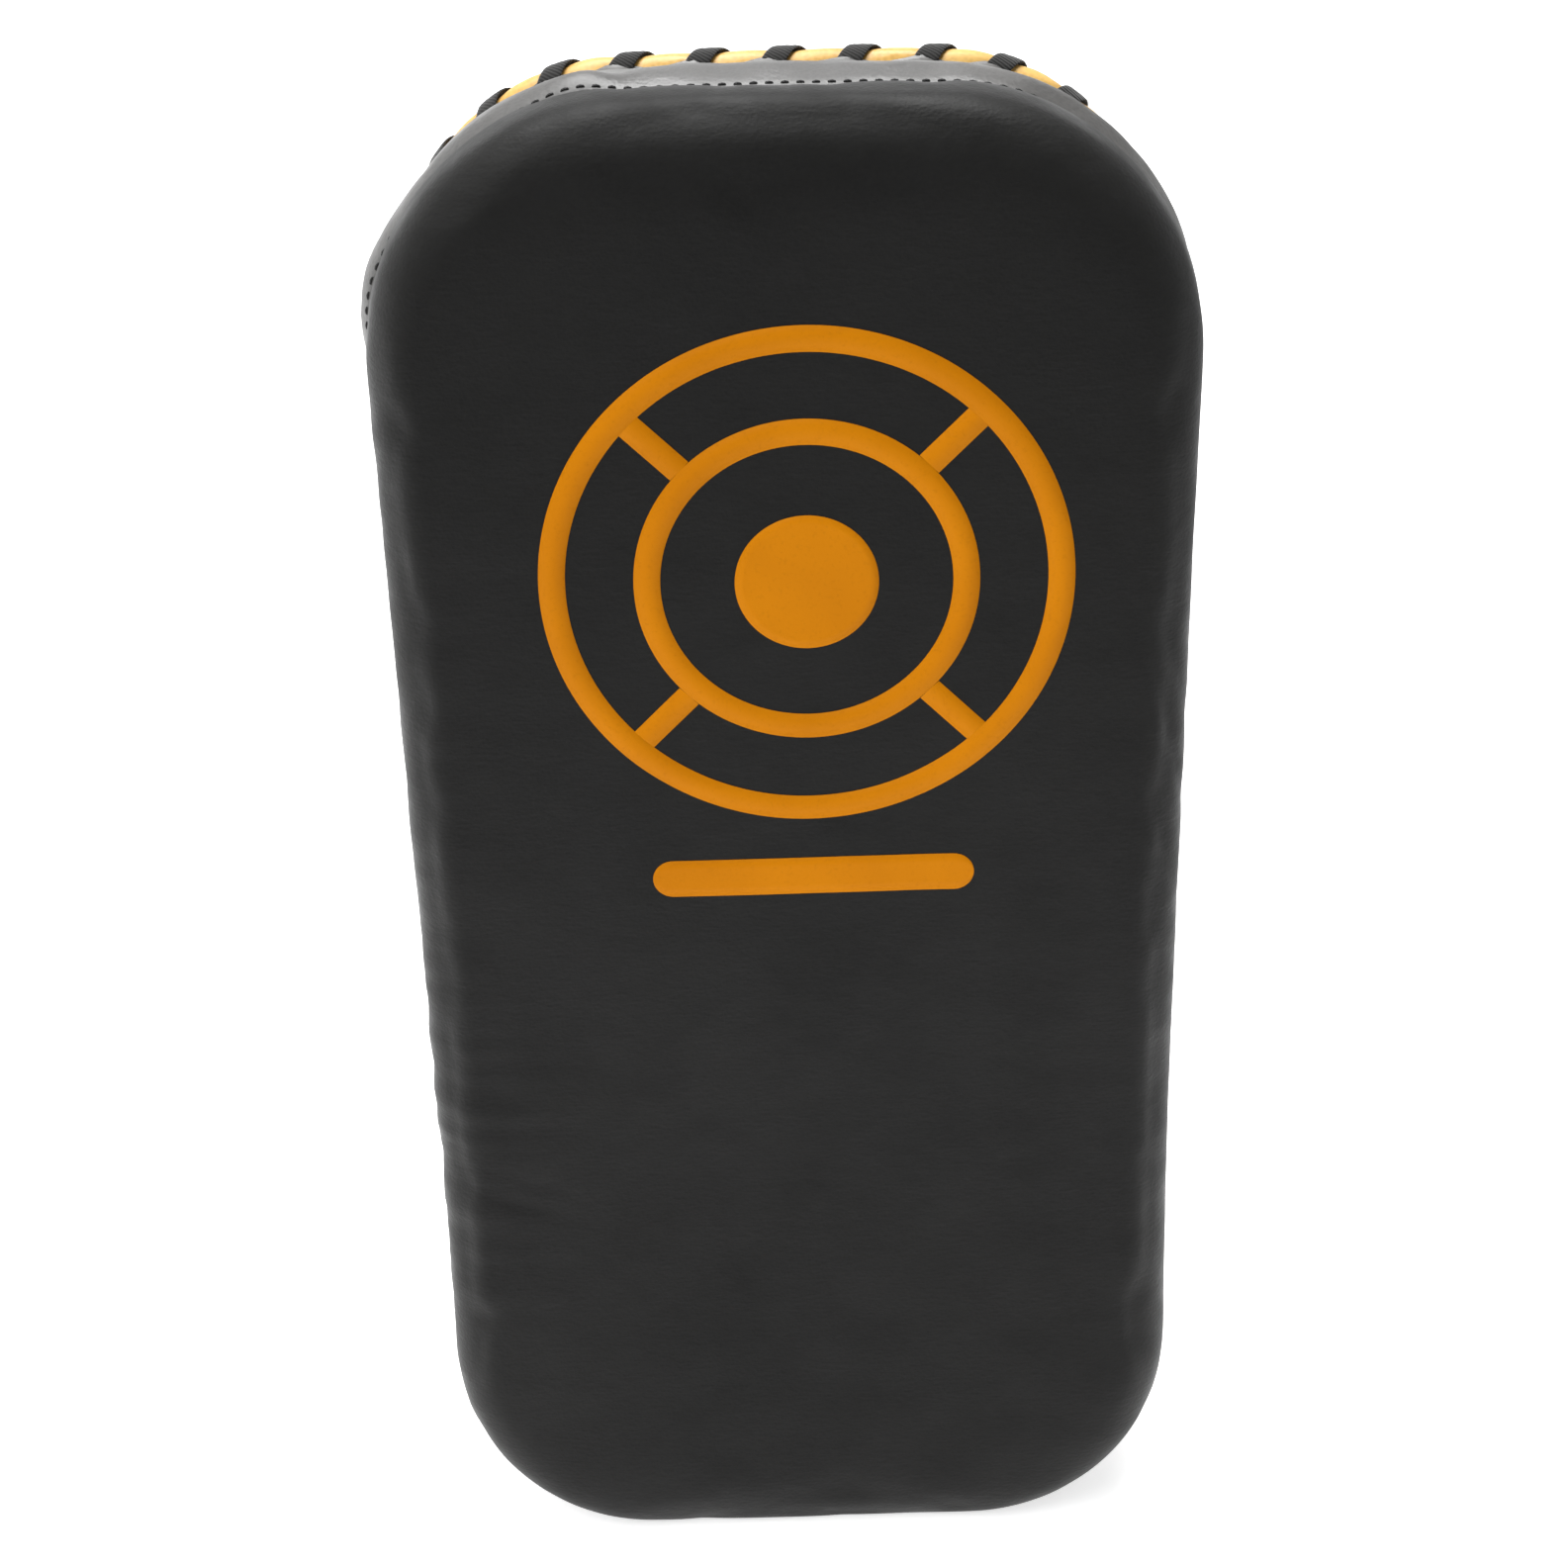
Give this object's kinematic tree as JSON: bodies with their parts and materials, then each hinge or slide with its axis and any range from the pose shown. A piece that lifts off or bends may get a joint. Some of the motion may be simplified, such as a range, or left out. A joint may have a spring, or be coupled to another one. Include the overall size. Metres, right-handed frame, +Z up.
{
  "type": "kick pad",
  "caption": "Curved foam kick pad with a smooth black strike face, a laced yellow rim, a grip handle and two forearm cuffs on the back.",
  "frame": {"origin": "centre of the bounding box's bottom face, on the surface the pad's lower end stands on", "axes": "+Z up along the pad, -Y out of the strike face, +Y out of the back with the handle and cuffs, +X across"},
  "size_m": [0.2, 0.1796, 0.4041],
  "materials": {
    "strike_leather": "satin",
    "side_leather": "satin",
    "back_leather": "satin",
    "strap_leather": "satin",
    "yellow_leather": "satin",
    "black_lace": "matte",
    "grey_foam": "matte",
    "board": "matte",
    "touch_tape": "matte",
    "grip_rod": "matte",
    "ring_steel": "polished",
    "rivet_steel": "satin"
  },
  "bodies": {
    "pad": {"back_panel": "back_leather", "edge_roll_core": "grey_foam", "edge_roll_cover": "yellow_leather", "foam_core_layer": "grey_foam", "foam_impact_layer": "grey_foam", "foam_rear_layer": "grey_foam", "forearm_pad_cover": "back_leather", "forearm_pad_foam": "grey_foam", "front_cover": "strike_leather", "gusset_band": "side_leather", "handle_foot_left": "strap_leather", "handle_foot_right": "strap_leather", "handle_left_rivet_1": "rivet_steel", "handle_left_rivet_2": "rivet_steel", "handle_patch": "side_leather", "handle_right_rivet_1": "rivet_steel", "handle_right_rivet_2": "rivet_steel", "lower_anchor_rivet_1": "rivet_steel", "lower_anchor_rivet_2": "rivet_steel", "lower_cuff_pad": "grey_foam", "lower_cuff_strap": "strap_leather", "lower_keeper_rivet_1": "rivet_steel", "lower_keeper_rivet_2": "rivet_steel", "lower_loop_patch": "touch_tape", "lower_ring_keeper": "strap_leather", "rim_lacing": "black_lace", "stiffener_board": "board", "upper_anchor_rivet_1": "rivet_steel", "upper_anchor_rivet_2": "rivet_steel", "upper_cuff_pad": "grey_foam", "upper_cuff_strap": "strap_leather", "upper_keeper_rivet_1": "rivet_steel", "upper_keeper_rivet_2": "rivet_steel", "upper_loop_patch": "touch_tape", "upper_ring_keeper": "strap_leather"},
    "handle": {"handle_tab_left": "strap_leather", "handle_tab_right": "strap_leather", "grip_core": "grip_rod", "grip_foam": "grey_foam", "grip_wrap": "strap_leather"},
    "upper_tongue": {"upper_tongue": "strap_leather", "upper_hook_patch": "touch_tape"},
    "lower_tongue": {"lower_tongue": "strap_leather", "lower_hook_patch": "touch_tape"},
    "upper_ring": {"upper_ring": "ring_steel"},
    "lower_ring": {"lower_ring": "ring_steel"}
  },
  "joints": [
    {"name": "handle_tilt", "type": "hinge", "parent": "pad", "child": "handle", "pos_m": [0, -0.0106, 0.33401], "axis": [1, 0, 0], "range_deg": [-25, 25], "stiffness_Nm_per_rad": 0.5, "springref_deg": 2.29},
    {"name": "upper_tongue_peel", "type": "hinge", "parent": "pad", "child": "upper_tongue", "pos_m": [0.056, 0.0246, 0.23788], "axis": [0, 0.0767, -0.9971], "range_deg": [0, 110]},
    {"name": "upper_ring_swing", "type": "hinge", "parent": "pad", "child": "upper_ring", "pos_m": [0.056, 0.01064, 0.2368], "axis": [0, -0.0767, 0.9971], "range_deg": [-2.5, 2.5]},
    {"name": "lower_tongue_peel", "type": "hinge", "parent": "pad", "child": "lower_tongue", "pos_m": [0.056, 0.03174, 0.11533], "axis": [0, 0.0096, -1], "range_deg": [0, 110]},
    {"name": "lower_ring_swing", "type": "hinge", "parent": "pad", "child": "lower_ring", "pos_m": [0.056, 0.01775, 0.11519], "axis": [0, -0.0096, 1], "range_deg": [-2.5, 2.5]}
  ]
}
